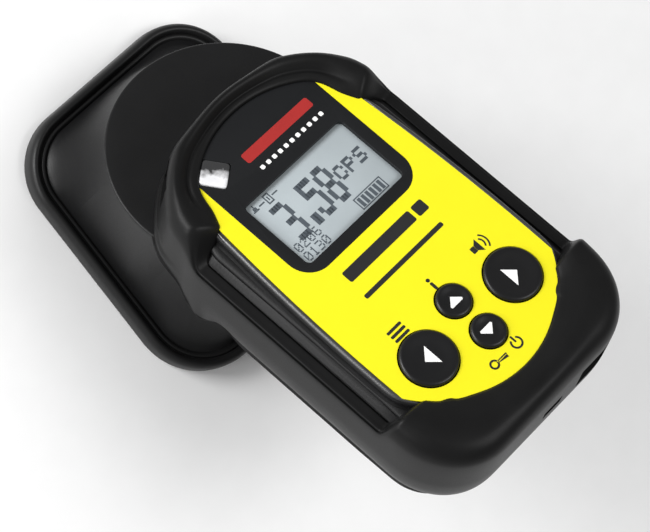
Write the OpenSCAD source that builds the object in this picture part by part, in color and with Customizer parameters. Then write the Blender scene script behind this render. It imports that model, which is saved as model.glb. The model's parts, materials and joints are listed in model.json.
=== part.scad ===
// Hand-held survey meter with a pancake detector head.
// Row frame: the flange stands on the floor, origin under the detector's axis, +Y towards the head end,
// +Z up. Body frame: X across the face, Y along the body, Z out of the face, zero on the label.

/* [Body] */
// Width of the housing
body_w = 61.6; // [54:0.2:72]
// Distance from the foot of the display panel to the tail of the housing
tail_len = 53; // [50:0.5:62]
// Distance from the foot of the display panel to the head of the housing
head_len = 43; // [41:0.5:50]
// Thickness of the housing from label to back
body_t = 31; // [29:0.5:38]
// How much the radius of the arched head end is over half the width
head_over = 2.2; // [1.2:0.1:14]
// Radius of the tail corners
tail_r = 13; // [8:0.5:18]
// Wall of the housing
wall = 2; // [1.6:0.1:2.4]
// Depth of the parting line below the label
split_depth = 15.5; // [14:0.5:17]
// How far the sides step in below the face
side_step = 2.2; // [1.6:0.1:2.6]

/* [Rubber sleeve] */
// Rubber thickness at the sides
sleeve_side = 3.7; // [3:0.1:5]
// Rubber thickness at head and tail
sleeve_end = 5; // [4.5:0.1:7]
// Rubber thickness at the back
sleeve_back = 2; // [1.5:0.1:3]
// Height of the head bumper above the label
head_bump = 3; // [1:0.1:4]
// Height of the tail bumper above the label
tail_bump = 2.4; // [1:0.1:4]
// Depth of the sleeve's side windows below the label
window_depth = 7; // [6.5:0.1:9]

/* [Face] */
// Half width of the display panel
panel_half = 20; // [19:0.5:21]
// Corner radius at the foot of the display panel
panel_r = 6.5; // [4:0.5:8]
// Width of the visible display
view_w = 33.3; // [30:0.1:35]
// Height of the visible display
view_h = 20.4; // [18:0.1:22]
// Distance from the foot of the panel to the visible display
view_y = 3.2; // [2.5:0.1:5]
// Half width of the label at its widest
label_half = 26.6; // [26:0.1:27]
// Distance from the foot of the panel to the foot of the label
label_foot = 48.6; // [45:0.1:49]
// Radius of the foot of the label
label_r = 31.1; // [30:0.1:34]
// Side and diameter of the alarm lens
lens_side = 6.6; // [5:0.1:7]

/* [Buttons] */
// Radius of the two large buttons
big_r = 7; // [6:0.1:8]
// Radius of the two small buttons
small_r = 4.35; // [3.5:0.05:4.6]
// Distance of the large buttons from the middle
big_x = 14.9; // [14:0.1:16]
// Distance of the large buttons below the panel
big_y = 31.65; // [30:0.1:33]
// Distance of the upper small button below the panel
up_y = 26.3; // [25:0.1:26.4]
// Distance of the lower small button below the panel
down_y = 36.9; // [36.8:0.1:38]
// Button height above the label
button_rise = 0.9; // [0.4:0.1:1.5]
// Travel of each button
button_travel = 0.8; // [0.4:0.1:0.9]
// Gap round each button
button_gap = 0.3; // [0.2:0.05:0.5]

/* [Batteries] */
// Diameter of a cell
cell_d = 10.5; // [10.5:0.1:11]
// Length of a cell
cell_len = 44.5; // [44:0.1:45]
// Gap round the battery door
door_gap = 0.35; // [0.3:0.05:0.6]

/* [Head] */
// Angle between the flange and the face
head_tilt = 25; // [20:0.5:28]
// Place of the panel's foot behind the detector axis
body_back = 23.2; // [20:0.1:26]
// Height of the panel's foot above the floor
body_up = 72.5; // [70:0.1:76]
// Half width of the flange at the head end
flange_w1 = 32.3; // [31:0.1:38]
// Half width of the flange at the tail end
flange_w2 = 35.2; // [31:0.1:42]
// Length of the flange
flange_len = 77.2; // [70:0.1:92]
// Corner radius of the flange at the head end
flange_r1 = 16.5; // [10:0.5:20]
// Corner radius of the flange at the tail end
flange_r2 = 18.5; // [10:0.5:22]
// Radius of the flat top of the head
top_r = 30; // [28:0.5:33]
// Distance of the flat top's centre from the panel's foot
top_y = 41.4; // [38:0.1:44]
// Depth of the flat top below the label
top_depth = 17; // [16.5:0.1:18]
// Height of the rim guard
guard_h = 6.5; // [5:0.1:8]

/* [Detector] */
// Radius of the pancake tube
tube_r = 26.4; // [24:0.1:28]
// Height of the pancake tube
tube_h = 10.7; // [8:0.1:12]
// Radius of the mica window
mica_r = 22; // [18:0.1:23]
// Radius of the opening in the grille ring
ring_bore = 23.5; // [20:0.1:24.5]
// Outer radius of the grille ring
ring_r = 29.9; // [29.2:0.1:30]
// Distance between the grille's cells
cell_pitch = 5.2; // [4:0.1:7]

/* [Hidden] */
$fn = 72;

// Face levels, measured down from the label
label_t = 0.3;
panel_t = 1.2;
plate_top = 0.4;
plate_t = 2.6;
plate_low = plate_top + plate_t;
seal_t = 0.6;
lcd_t = 2;
light_t = 1.4;
lip_t = 1;
lip_w = 0.65;
mat_t = 0.8;
dome_t = 0.8;
board_t = 1.6;
lip_low = plate_low + 0.4 + lip_t;
mat_top = lip_low + button_travel + 0.3;
dome_top = mat_top + mat_t;
board_top = dome_top + dome_t;
board_low = board_top + board_t;
cavity_low = body_t - wall;

// Depth, side inset and end inset of the steps that draw in the back edge
back_steps = [[body_t - 9, 2, 0.7], [body_t - 4.5, 4.4, 1.5]];

// Plan of the housing
half_w = body_w / 2;
head_r = half_w + head_over;
arc_y = head_len - head_r;
view_mid = view_y + view_h / 2;
buttons = [[-big_x, -big_y, big_r], [big_x, -big_y, big_r], [0, -up_y, small_r], [0, -down_y, small_r]];
lens_at = [-15, 34.3];
lens_turn = 35;
bumper_y = -35.5;
arch_y = 21;
rail_r = 0.95;
boss_r = 3.2;
screw_r = 1;
bosses = [for (sx = [-1, 1]) for (p = [[half_w - 8.8, -tail_len + 9.5], [half_w - 7.7, head_len - 21]])
    [sx * p[0], p[1]]];
board_half = half_w - side_step - wall - 2;
board_bosses = [[-board_half + 2.5, -14], [board_half - 2.5, -14]];

// Battery bay
bay_foot = -tail_len + 4;
tray_t = 1.2;
contact_t = 0.4;
spring_h = 2.6;
cell_room = 1.2;
bay_low = bay_foot + tray_t + contact_t;
bay_high = bay_low + cell_len + spring_h;
bay_len = bay_high - bay_low + 2 * (tray_t + contact_t);
bay_half = cell_d + 3.2;
cell_x = cell_d / 2 + 1;
cell_z = -(cavity_low - 0.6 - cell_d / 2);
tray_top = cavity_low - cell_d - cell_room - tray_t;
door_y = bay_foot + 3.2;
door_len = bay_len - 4.4;
door_half = bay_half - 1;
hinge_y = door_y - 1.7;
hinge_z = -(body_t - 1.3);
hinge_r = 1.2;
pin_r = 0.6;
pin_gap = 0.05;
hinge_gap = 0.85;
knuckle = 9;
ear = 3;

// Strap notch and data window at the tail
notch = [16, 11.4, 9];
notch_z = -11;
port = [1, 6, 2.8];

// Head
flange_mid = flange_len / 2;
flare = atan((flange_w2 - flange_w1) / flange_len);
flange_low = 2.4;
flange_t = 2.6;
edge_grip = 2;
bead = 3.6;
ring_t = 1.8;
grille_t = 0.5;
tube_gap = 0.6;
tube_low = flange_low + 0.9;
tube_top = tube_low + tube_h;
shell_t = 1;
cushion_t = 2;
hv_low = tube_top + cushion_t;
hv_top = hv_low + 1.6;
bay_top = hv_top + 0.3;
coil = [12, 9, 4];
coil_at = [4, 4];
coil_bay_r = 16;
neck_head_r = 2.2;
neck_walk = head_r - back_steps[1][2] - wall - neck_head_r - 0.3;
neck_at = [for (sx = [-1, 1]) for (p = [[17, 19], [neck_walk * cos(53.5), arc_y + neck_walk * sin(53.5)]])
    [sx * p[0], p[1]]];
lead_y = 30;
lead_r = 1.3;
lead_clear = 1;
lead_drop = (body_up - lead_y * sin(head_tilt) - hv_top - lead_clear) / cos(head_tilt) - body_t;
seal_in = 4;
seal_out = 6;

module place_body() {
    translate([0, -body_back, body_up]) rotate([-head_tilt, 0, 0]) children();
}

// A slab between two depths below the label
module slab(high, low) {
    translate([0, 0, -low]) linear_extrude(low - high) children();
}

// Plan of the housing, grown by side at the sides and by end at head and tail
module plan(side = 0, end = 0) {
    w = half_w + side;
    foot = -tail_len - end;
    r = tail_r + min(side, end);
    intersection() {
        translate([0, arc_y]) circle(head_r + end);
        translate([-w, arc_y - 1]) square([2 * w, head_r + end + 2]);
    }
    translate([-w, foot + r]) square([2 * w, arc_y - foot - r]);
    translate([-w + r, foot]) square([2 * (w - r), r + 1]);
    for (sx = [-1, 1]) translate([sx * (w - r), foot + r]) circle(r);
}

// A block with the housing's plan that steps in towards the back, each step higher by lift
module back_block(high, low, side = 0, end = 0, lift = 0) {
    depths = concat([high], [for (b = back_steps) b[0] - lift], [low]);
    insets = concat([[0, 0]], [for (b = back_steps) [b[1], b[2]]]);
    for (i = [0:len(insets) - 1]) slab(depths[i] - (i > 0 ? 0.1 : 0), depths[i + 1])
        plan(side - insets[i][0], end - insets[i][1]);
}

// The housing's outer block, stepped in under the face so that the steps form the side ribs
module body_block() {
    slab(plate_top, 2.2) plan(-side_step, -0.3);
    slab(2, 4.2) plan(-side_step * 0.65, -0.2);
    slab(4, 6.2) plan(-side_step * 0.3, -0.1);
    back_block(6, body_t);
}

// Tongue of the display panel; its top follows the arched head
module panel_2d(grow = 0) {
    w = panel_half + grow;
    intersection() {
        translate([0, arc_y]) circle(head_r - 0.8 + grow);
        translate([-w, panel_r]) square([2 * w, head_len]);
    }
    translate([-w + panel_r, -grow]) square([2 * (w - panel_r), panel_r + 2]);
    for (sx = [-1, 1]) translate([sx * (panel_half - panel_r), panel_r]) circle(panel_r + grow);
    translate([-w, panel_r]) square([2 * w, 8]);
}

// Outline of the label: gently bowed sides and a round foot
module label_2d(grow = 0) {
    bow_r = 540;
    bow_y = -22;
    foot_y = label_r - label_foot;
    intersection() {
        translate([-(bow_r - label_half), bow_y]) circle(bow_r + grow, $fn = 360);
        translate([bow_r - label_half, bow_y]) circle(bow_r + grow, $fn = 360);
        union() {
            translate([0, foot_y]) circle(label_r + grow);
            translate([-half_w, foot_y]) square([body_w, 20]);
            translate([-half_w, foot_y + 10]) square([body_w, arc_y - foot_y + 6]);
            translate([0, arc_y]) circle(head_r - 0.8 + grow);
        }
    }
}

module button_holes(grow) {
    for (b = buttons) translate([b[0], b[1]]) circle(b[2] + grow);
}

module lens_2d(grow = 0) {
    s = lens_side + 2 * grow;
    translate(lens_at) rotate(lens_turn) square([s, s], center = true);
}

module view_2d(grow = 0) {
    translate([-view_w / 2 - grow, view_y - grow]) square([view_w + 2 * grow, view_h + 2 * grow]);
}

module front_housing() color([0.10, 0.10, 0.10]) place_body() {
    difference() {
        union() {
            difference() {
                intersection() {
                    body_block();
                    slab(0, split_depth - seal_t / 2) square([200, 200], center = true);
                }
                slab(plate_low, split_depth + 1) plan(-side_step - wall, -wall - 0.3);
            }
            for (sx = [-1, 1]) translate([sx * (label_half + rail_r + 0.1), arch_y - 0.3, -plate_top - 0.3])
                rotate([90, 0, 0]) cylinder(r = rail_r, h = arch_y - bumper_y - 0.6);
            for (p = board_bosses) translate([p[0], p[1], -board_top]) cylinder(r = 2.2, h = 5);
            for (sx = [-1, 1]) translate([notch[0] + sx * (notch[1] / 2 - 1.2) - 0.9, -tail_len - 3.6,
                notch_z - 2]) cube([1.8, 5.1, 4]);
            for (p = bosses) translate([p[0], p[1], -split_depth + seal_t / 2])
                cylinder(r = boss_r, h = split_depth - seal_t / 2 - plate_low + 0.5);
        }
        slab(-2, panel_t) panel_2d();
        slab(-2, plate_low + 1) view_2d(0.8);
        slab(-2, plate_low + 1) lens_2d(0.1);
        slab(-2, plate_low + 1) button_holes(button_gap);
        for (p = board_bosses) translate([p[0], p[1], -board_top - 1]) cylinder(r = screw_r * 0.8, h = 4);
        for (p = bosses) translate([p[0], p[1], -split_depth - 1]) cylinder(r = screw_r, h = 7);
        translate([notch[0] - 8, -tail_len - 2.4, notch_z]) rotate([0, 90, 0])
            cylinder(r = screw_r, h = 16, $fn = 48);
    }
}

// Opening for the door, wider beside the hinge, where the door's edge swings down
module door_opening() translate([-door_half - door_gap, door_y - hinge_gap])
    square([2 * (door_half + door_gap), door_len + hinge_gap + door_gap]);

module knuckle_room() translate([-knuckle / 2 - 0.3, hinge_y - hinge_r - 0.5])
    square([knuckle + 0.6, 4]);

module rear_housing() color([0.09, 0.09, 0.09]) place_body() {
    top = split_depth + seal_t / 2;
    difference() {
        intersection() {
            body_block();
            slab(top, body_t + 1) square([200, 200], center = true);
        }
        difference() {
            back_block(top - 1, cavity_low, -wall, -wall, wall);
            for (p = bosses) translate([p[0], p[1], -body_t]) cylinder(r = boss_r, h = body_t);
        }
        for (p = bosses) {
            translate([p[0], p[1], -body_t - 1]) cylinder(r = screw_r + 0.1, h = body_t);
            translate([p[0], p[1], -body_t - 1]) cylinder(r = 2.1, h = 3.5);
        }
        slab(cavity_low - 1, body_t + 1) door_opening();
        slab(cavity_low - 1, body_t + 1) knuckle_room();
        translate([0, hinge_y, hinge_z]) rotate([0, 90, 0])
            cylinder(r = pin_r, h = knuckle + 2 * ear, center = true, $fn = 48);
        for (p = neck_at) translate([p[0], p[1], -body_t - 1]) cylinder(r = 1.35, h = 5);
        translate([0, lead_y, -body_t - 1]) cylinder(r = lead_r + 0.2, h = 5);
    }
}

module housing_seal() color([0.16, 0.16, 0.16]) place_body()
    slab(split_depth - seal_t / 2, split_depth + seal_t / 2) difference() {
        plan(-0.3, -0.3);
        plan(-wall, -wall);
    }

module housing_screws() color([0.72, 0.72, 0.74]) place_body() for (p = bosses)
    translate([p[0], p[1], 0]) {
        translate([0, 0, -body_t + 1.1]) difference() {
            cylinder(r = 2, h = 1.4);
            translate([0, 0, -1]) cylinder(r = 0.9, h = 1.7, $fn = 6);
        }
        translate([0, 0, -body_t + 2]) cylinder(r = screw_r, h = body_t - split_depth + 2);
    }

module face_label() color([0.95, 0.88, 0.10]) place_body() slab(0, label_t) difference() {
    intersection() {
        label_2d();
        plan(-side_step, -0.4);
    }
    panel_2d(0.05);
    button_holes(button_gap);
}

module display_window() color([0.05, 0.05, 0.06]) place_body() difference() {
    slab(0, panel_t) panel_2d();
    slab(-1, panel_t + 1) lens_2d(0.1);
}

module lcd_panel() color([0.66, 0.71, 0.75]) place_body()
    translate([0, view_mid, -plate_low - lcd_t / 2]) cube([view_w + 4, view_h + 4, lcd_t], center = true);

module lcd_backlight() color([0.92, 0.93, 0.90]) place_body()
    translate([0, view_mid, -plate_low - lcd_t - light_t / 2])
        cube([view_w + 3, view_h + 3, light_t], center = true);

module lcd_frame() color([0.85, 0.85, 0.82]) place_body()
    translate([0, view_mid, -(plate_low + board_top) / 2]) difference() {
        cube([view_w + 6, view_h + 6, board_top - plate_low], center = true);
        cube([view_w + 4.2, view_h + 4.2, body_t], center = true);
    }

module alarm_lens() color([0.80, 0.80, 0.82]) place_body() slab(-0.5, plate_low) lens_2d();

module alarm_led() color([0.95, 0.85, 0.80]) place_body()
    translate([lens_at[0], lens_at[1], -board_top]) cylinder(r = 1.5, h = board_top - plate_low - 0.3);

// One push button: a domed cap with a retaining lip under the face plate
module button(b) place_body() translate([b[0], b[1], 0]) {
    translate([0, 0, -plate_low - 0.5]) cylinder(r = b[2], h = plate_low + 0.5 + button_rise * 0.5);
    translate([0, 0, button_rise * 0.5 - 0.01]) cylinder(r = b[2] - 0.7, h = button_rise * 0.5);
    translate([0, 0, -lip_low]) cylinder(r = b[2] + lip_w, h = lip_t);
}

module button_left() color([0.12, 0.12, 0.12]) button(buttons[0]);
module button_right() color([0.12, 0.12, 0.12]) button(buttons[1]);
module button_up() color([0.12, 0.12, 0.12]) button(buttons[2]);
module button_down() color([0.12, 0.12, 0.12]) button(buttons[3]);

module keypad_mat() color([0.25, 0.25, 0.27]) place_body()
    slab(mat_top, dome_top) translate([-big_x - big_r + 2, -big_y - big_r - 2])
        square([2 * (big_x + big_r - 2), 2 * big_r + 4]);

module switch_domes() color([0.80, 0.80, 0.78]) place_body() for (b = buttons)
    translate([b[0], b[1], -board_top]) cylinder(r1 = 2.6, r2 = 1.6, h = dome_t);

module main_board() color([0.10, 0.35, 0.20]) place_body() difference() {
    slab(board_top, board_low) intersection() {
        translate([-board_half, -tail_len + 8]) square([2 * board_half, body_w + 40]);
        plan(-side_step - wall - 0.4, -wall - 1);
    }
    for (p = board_bosses) translate([p[0], p[1], -board_low - 1]) cylinder(r = screw_r, h = 4);
    for (p = bosses) translate([p[0], p[1], -board_low - 1]) cylinder(r = boss_r + 0.4, h = 4);
}

module board_screws() color([0.75, 0.75, 0.77]) place_body() for (p = board_bosses)
    translate([p[0], p[1], 0]) {
        translate([0, 0, -board_low - 1]) cylinder(r = 1.7, h = 1);
        translate([0, 0, -board_low - 0.5]) cylinder(r = screw_r * 0.8, h = 4);
    }

module shield_can() color([0.78, 0.79, 0.80]) place_body()
    translate([0, 14, -board_low - 1.25]) difference() {
        cube([24, 20, 2.5], center = true);
        translate([0, 0, 0.6]) cube([23, 19, 2.5], center = true);
    }

module buzzer() color([0.14, 0.14, 0.15]) place_body()
    translate([-13, -26, -board_low - 4]) difference() {
        cylinder(r = 6, h = 4);
        translate([0, 0, -1]) cylinder(r = 0.9, h = 2);
    }

module vibration_motor() color([0.70, 0.70, 0.70]) place_body()
    translate([10, -30, -board_low - 2.2]) rotate([0, 90, 0]) {
        cylinder(r = 2.2, h = 8);
        translate([0, 0, 8]) cylinder(r = 0.5, h = 1.6);
        translate([0, 0, 8.6]) intersection() {
            cylinder(r = 2, h = 2.6);
            translate([-3, -3, 0]) cube([6, 3.6, 3]);
        }
    }

module battery_tray() color([0.20, 0.20, 0.21]) place_body() difference() {
    slab(tray_top, cavity_low) translate([-bay_half, bay_foot]) square([2 * bay_half, bay_len]);
    slab(tray_top + tray_t, cavity_low + 1) translate([-bay_half + tray_t, bay_foot + tray_t])
        square([2 * (bay_half - tray_t), bay_len - 2 * tray_t]);
    slab(cavity_low - 0.4, cavity_low + 1) door_opening();
    slab(cavity_low - 1, cavity_low + 1) knuckle_room();
}

// One cell, standing on its flat end, with its button contact on top
module cell() {
    cylinder(r = cell_d / 2, h = cell_len - 0.8);
    cylinder(r = 1.9, h = cell_len);
}

module battery_left() color([0.25, 0.35, 0.60]) place_body()
    translate([-cell_x, bay_low + spring_h, cell_z]) rotate([-90, 0, 0]) cell();

module battery_right() color([0.25, 0.35, 0.60]) place_body()
    translate([cell_x, bay_high - spring_h, cell_z]) rotate([90, 0, 0]) cell();

module battery_contacts() color([0.85, 0.80, 0.55]) place_body()
    for (x = [-cell_x, cell_x]) for (y = [bay_low - contact_t, bay_high])
        translate([x - 3.5, y, cell_z - 3.5]) cube([7, contact_t, 7]);

// Each spring stands between a cell's flat end and its contact plate
module battery_springs() color([0.80, 0.80, 0.80]) place_body() {
    translate([-cell_x, bay_low, cell_z]) rotate([-90, 0, 0]) spring_tube();
    translate([cell_x, bay_high, cell_z]) rotate([90, 0, 0]) spring_tube();
}

module spring_tube() difference() {
    cylinder(r1 = 3.2, r2 = 2.4, h = spring_h);
    translate([0, 0, -0.5]) cylinder(r = 1.7, h = spring_h + 1);
}

module battery_door() color([0.10, 0.10, 0.10]) place_body() difference() {
    union() {
        translate([-door_half, door_y, -body_t]) cube([2 * door_half, door_len, wall]);
        translate([0, hinge_y, hinge_z]) rotate([0, 90, 0])
            cylinder(r = hinge_r, h = knuckle, center = true, $fn = 48);
        translate([-knuckle / 2, hinge_y, -body_t + 0.1]) cube([knuckle, 2.5, 1.4]);
    }
    translate([0, hinge_y, hinge_z]) rotate([0, 90, 0])
        cylinder(r = pin_r + pin_gap, h = knuckle + 2, center = true, $fn = 48);
    for (i = [0:4]) translate([-8, door_y + door_len - 5 - 2 * i, -body_t - 0.6]) cube([16, 1, 1]);
}

module door_hinge_pin() color([0.75, 0.75, 0.77]) place_body()
    translate([0, hinge_y, hinge_z]) rotate([0, 90, 0])
        cylinder(r = pin_r, h = knuckle + 2 * ear, center = true, $fn = 48);

module strap_pin() color([0.75, 0.75, 0.77]) place_body()
    translate([notch[0], -tail_len - 2.4, notch_z]) rotate([0, 90, 0])
        cylinder(r = screw_r, h = notch[1] - 0.6, center = true, $fn = 48);

module infrared_window() color([0.25, 0.05, 0.06]) place_body()
    translate([port[0], -tail_len - sleeve_end / 2 + 0.4, notch_z])
        cube([port[1], sleeve_end - 0.8, port[2]], center = true);

// Rubber: a band round the housing with a raised bumper at each end
module rubber_sleeve() color([0.07, 0.07, 0.07]) place_body() {
    arch_in = head_r - 2;
    difference() {
        union() {
            back_block(window_depth, body_t, sleeve_side, sleeve_end);
            slab(body_t, body_t + sleeve_back) plan(sleeve_side - back_steps[1][1] - 1.6,
                sleeve_end - back_steps[1][2] - 1.6);
            intersection() {
                union() {
                    slab(-tail_bump + 1.2, window_depth) plan(sleeve_side - 0.4, sleeve_end - 0.6);
                    slab(-tail_bump, window_depth) plan(sleeve_side - 2.4, sleeve_end - 2.4);
                }
                translate([-60, -100, -60]) cube([120, 100 + bumper_y, 100]);
            }
            intersection() {
                union() {
                    slab(-head_bump + 1.4, window_depth) plan(sleeve_side - 0.6, sleeve_end - 0.2);
                    slab(-head_bump, window_depth) plan(sleeve_side - 2.4, sleeve_end - 2);
                }
                translate([-60, arch_y, -60]) cube([120, 100, 100]);
            }
        }
        body_block();
        slab(-10, plate_top + 0.1) {
            intersection() {
                label_2d(0.2);
                translate([-60, -100]) square([120, 100 + arch_y + 1]);
            }
            translate([0, arc_y + 1.2]) intersection() {
                circle(arch_in - 0.2);
                translate([-24.4, -5]) square([48.8, 60]);
            }
        }
        slab(0, plate_top + 0.1) {
            panel_2d(0.05);
            intersection() {
                label_2d(0.05);
                plan(-side_step + 0.05, -0.35);
            }
        }
        slab(-0.6, 1) lens_2d(0.05);
        // back window round the battery door, and the way down over the head
        slab(body_t - 1, body_t + 10) translate([-bay_half - 2.5, -tail_len + 2])
            square([2 * bay_half + 5, 80]);
        slab(top_depth - 0.05, 80) translate([-top_r - 0.2, 12]) square([2 * top_r + 0.4, 80]);
        translate([notch[0] - notch[1] / 2, -tail_len - 20, notch_z - notch[2] / 2])
            cube([notch[1], 20.5, notch[2]]);
        translate([port[0] - port[1] / 2, -tail_len - 20, notch_z - port[2] / 2])
            cube([port[1], 20.5, port[2]]);
    }
}

// Points on an arc from angle a to angle b
function arc(x, y, r, a, b, n = 14) = [for (i = [0:n]) let (t = a + (b - a) * i / n) [x + r * cos(t), y + r * sin(t)]];

// Outline of the flange: four round corners joined by straight sides that spread towards the tail
module rim_2d(grow = 0) {
    slant = (flange_w2 - flange_w1) / flange_len;
    x1 = flange_w1 + slant * flange_r1 - flange_r1 / cos(flare);
    x2 = flange_w2 - slant * flange_r2 - flange_r2 / cos(flare);
    right = concat(arc(x1, flange_mid - flange_r1, flange_r1 + grow, 90, flare),
        arc(x2, flange_r2 - flange_mid, flange_r2 + grow, flare, -90));
    left = [for (i = [len(right) - 1:-1:0]) [-right[i][0], right[i][1]]];
    polygon(concat(right, left));
}

// Head: a neck that rises from the flange to the flat top, with a pocket for the housing above
// and a round bay for the tube below
module head_housing() color([0.11, 0.11, 0.11]) difference() {
    union() {
        translate([0, 0, flange_low]) linear_extrude(flange_t) rim_2d(-edge_grip);
        hull() {
            translate([0, 0, flange_low + flange_t - 0.5]) linear_extrude(0.5) rim_2d(-bead - 2);
            place_body() translate([0, top_y, -top_depth - 2]) cylinder(r = top_r, h = 2, $fn = 64);
        }
    }
    place_body() slab(-5, body_t) plan();
    translate([0, 0, -1]) cylinder(r = tube_r + tube_gap, h = bay_top + 1);
    translate([0, 0, -1]) cylinder(r = coil_bay_r, h = hv_top + coil[2] + 1.4);
    place_body() {
        for (p = neck_at) translate([p[0], p[1], -body_t - 7]) cylinder(r = 1.1, h = 8);
        translate([0, lead_y, -body_t - lead_drop - 1]) cylinder(r = lead_r + 0.2, h = lead_drop + 2);
        translate([0, lead_y, -body_t - 0.8]) difference() {
            cylinder(r = seal_out, h = 2);
            translate([0, 0, -1]) cylinder(r = seal_in, h = 4);
        }
    }
    for (a = [45:90:315]) rotate(a) translate([ring_r - 1.4, 0, flange_low - 1]) cylinder(r = 0.7, h = 3.6);
}

module rim_guard() color([0.06, 0.06, 0.06]) difference() {
    linear_extrude(guard_h) rim_2d();
    translate([0, 0, flange_low]) linear_extrude(flange_t) rim_2d(-edge_grip);
    translate([0, 0, -1]) linear_extrude(guard_h + 2) rim_2d(-bead);
}

module neck_seal() color([0.30, 0.12, 0.10]) place_body()
    translate([0, lead_y, -body_t - 0.8]) difference() {
        cylinder(r = seal_out, h = 0.8);
        translate([0, 0, -1]) cylinder(r = seal_in, h = 3);
    }

module neck_screws() color([0.72, 0.72, 0.74]) place_body() for (p = neck_at)
    translate([p[0], p[1], 0]) {
        translate([0, 0, -cavity_low]) cylinder(r = neck_head_r, h = 1.6);
        translate([0, 0, -body_t - 6]) cylinder(r = 1.1, h = wall + 6.5);
    }

module detector_lead() color([0.60, 0.10, 0.10]) place_body()
    translate([0, lead_y, -body_t - lead_drop]) cylinder(r = lead_r, h = body_t + lead_drop - board_low);

module geiger_tube() color([0.66, 0.67, 0.68]) difference() {
    translate([0, 0, tube_low]) cylinder(r = tube_r, h = tube_h);
    translate([0, 0, tube_low + 0.6]) cylinder(r = tube_r - shell_t, h = tube_h - 0.6 - shell_t);
    translate([0, 0, tube_low - 1]) cylinder(r = mica_r, h = 3);
    translate([0, 0, tube_top - 2]) cylinder(r = 1.6, h = 3);
}

module tube_window() color([0.75, 0.70, 0.60]) translate([0, 0, tube_low + 0.3])
    cylinder(r = mica_r, h = 0.3);

module tube_anode() color([0.85, 0.70, 0.35]) {
    translate([0, 0, tube_low + tube_h / 2]) rotate_extrude() translate([12, 0]) circle(0.5, $fn = 24);
    translate([-12, 0, tube_low + tube_h / 2]) rotate([0, 90, 0]) cylinder(r = 0.4, h = 24, $fn = 24);
    translate([0, 0, tube_low + tube_h / 2]) cylinder(r = 0.8, h = tube_h / 2 + cushion_t);
}

module tube_cushion() color([0.22, 0.22, 0.24]) translate([0, 0, tube_top]) difference() {
    cylinder(r = tube_r - 1, h = cushion_t);
    translate([0, 0, -1]) cylinder(r = tube_r - 7, h = cushion_t + 2);
}

module hv_board() color([0.12, 0.38, 0.24]) translate([0, 0, hv_low])
    cylinder(r = tube_r, h = hv_top - hv_low);

module hv_transformer() color([0.30, 0.30, 0.32]) translate([coil_at[0] - coil[0] / 2,
    coil_at[1] - coil[1] / 2, hv_top]) cube(coil);

module window_grille() color([0.55, 0.56, 0.58]) difference() {
    translate([0, 0, flange_low]) cylinder(r = tube_r - 0.2, h = grille_t);
    reach = ring_bore - cell_pitch * 0.6;
    rows = ceil(reach / (cell_pitch * 0.866));
    for (j = [-rows:rows]) for (i = [-rows - 1:rows + 1]) {
        x = (i + (j % 2 == 0 ? 0 : 0.5)) * cell_pitch;
        y = j * cell_pitch * 0.866;
        if (norm([x, y]) < reach) translate([x, y, flange_low - 1]) rotate(30)
            cylinder(r = cell_pitch * 0.51, h = grille_t + 2, $fn = 6);
    }
}

module grille_ring() color([0.13, 0.13, 0.14]) translate([0, 0, flange_low - ring_t]) difference() {
    cylinder(r = ring_r, h = ring_t);
    translate([0, 0, -1]) cylinder(r = ring_bore, h = ring_t + 2);
    for (a = [45:90:315]) rotate(a) translate([ring_r - 1.4, 0, -1]) cylinder(r = 0.8, h = ring_t + 2);
}

module ring_screws() color([0.72, 0.72, 0.74]) for (a = [45:90:315]) rotate(a)
    translate([ring_r - 1.4, 0, flange_low - ring_t]) cylinder(r = 0.7, h = ring_t + 2);

front_housing();
rear_housing();
housing_seal();
housing_screws();
face_label();
display_window();
lcd_panel();
lcd_backlight();
lcd_frame();
alarm_lens();
alarm_led();
button_left();
button_right();
button_up();
button_down();
keypad_mat();
switch_domes();
main_board();
board_screws();
shield_can();
buzzer();
vibration_motor();
battery_tray();
battery_left();
battery_right();
battery_contacts();
battery_springs();
battery_door();
door_hinge_pin();
strap_pin();
infrared_window();
rubber_sleeve();
head_housing();
rim_guard();
neck_seal();
neck_screws();
detector_lead();
geiger_tube();
tube_window();
tube_anode();
tube_cushion();
hv_board();
hv_transformer();
window_grille();
grille_ring();
ring_screws();
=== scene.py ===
# %% [markdown]
# # A hand-held survey meter with a pancake detector head
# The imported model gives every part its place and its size. This lesson adds what makes the object look real: the soft
# moulded rubber, the lofted head, the domed keys, the display, and a finish for each part that shows.

# %% Load the frame
import json
import bmesh
import bpy
import numpy as np
from mathutils import Matrix, Vector


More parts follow.
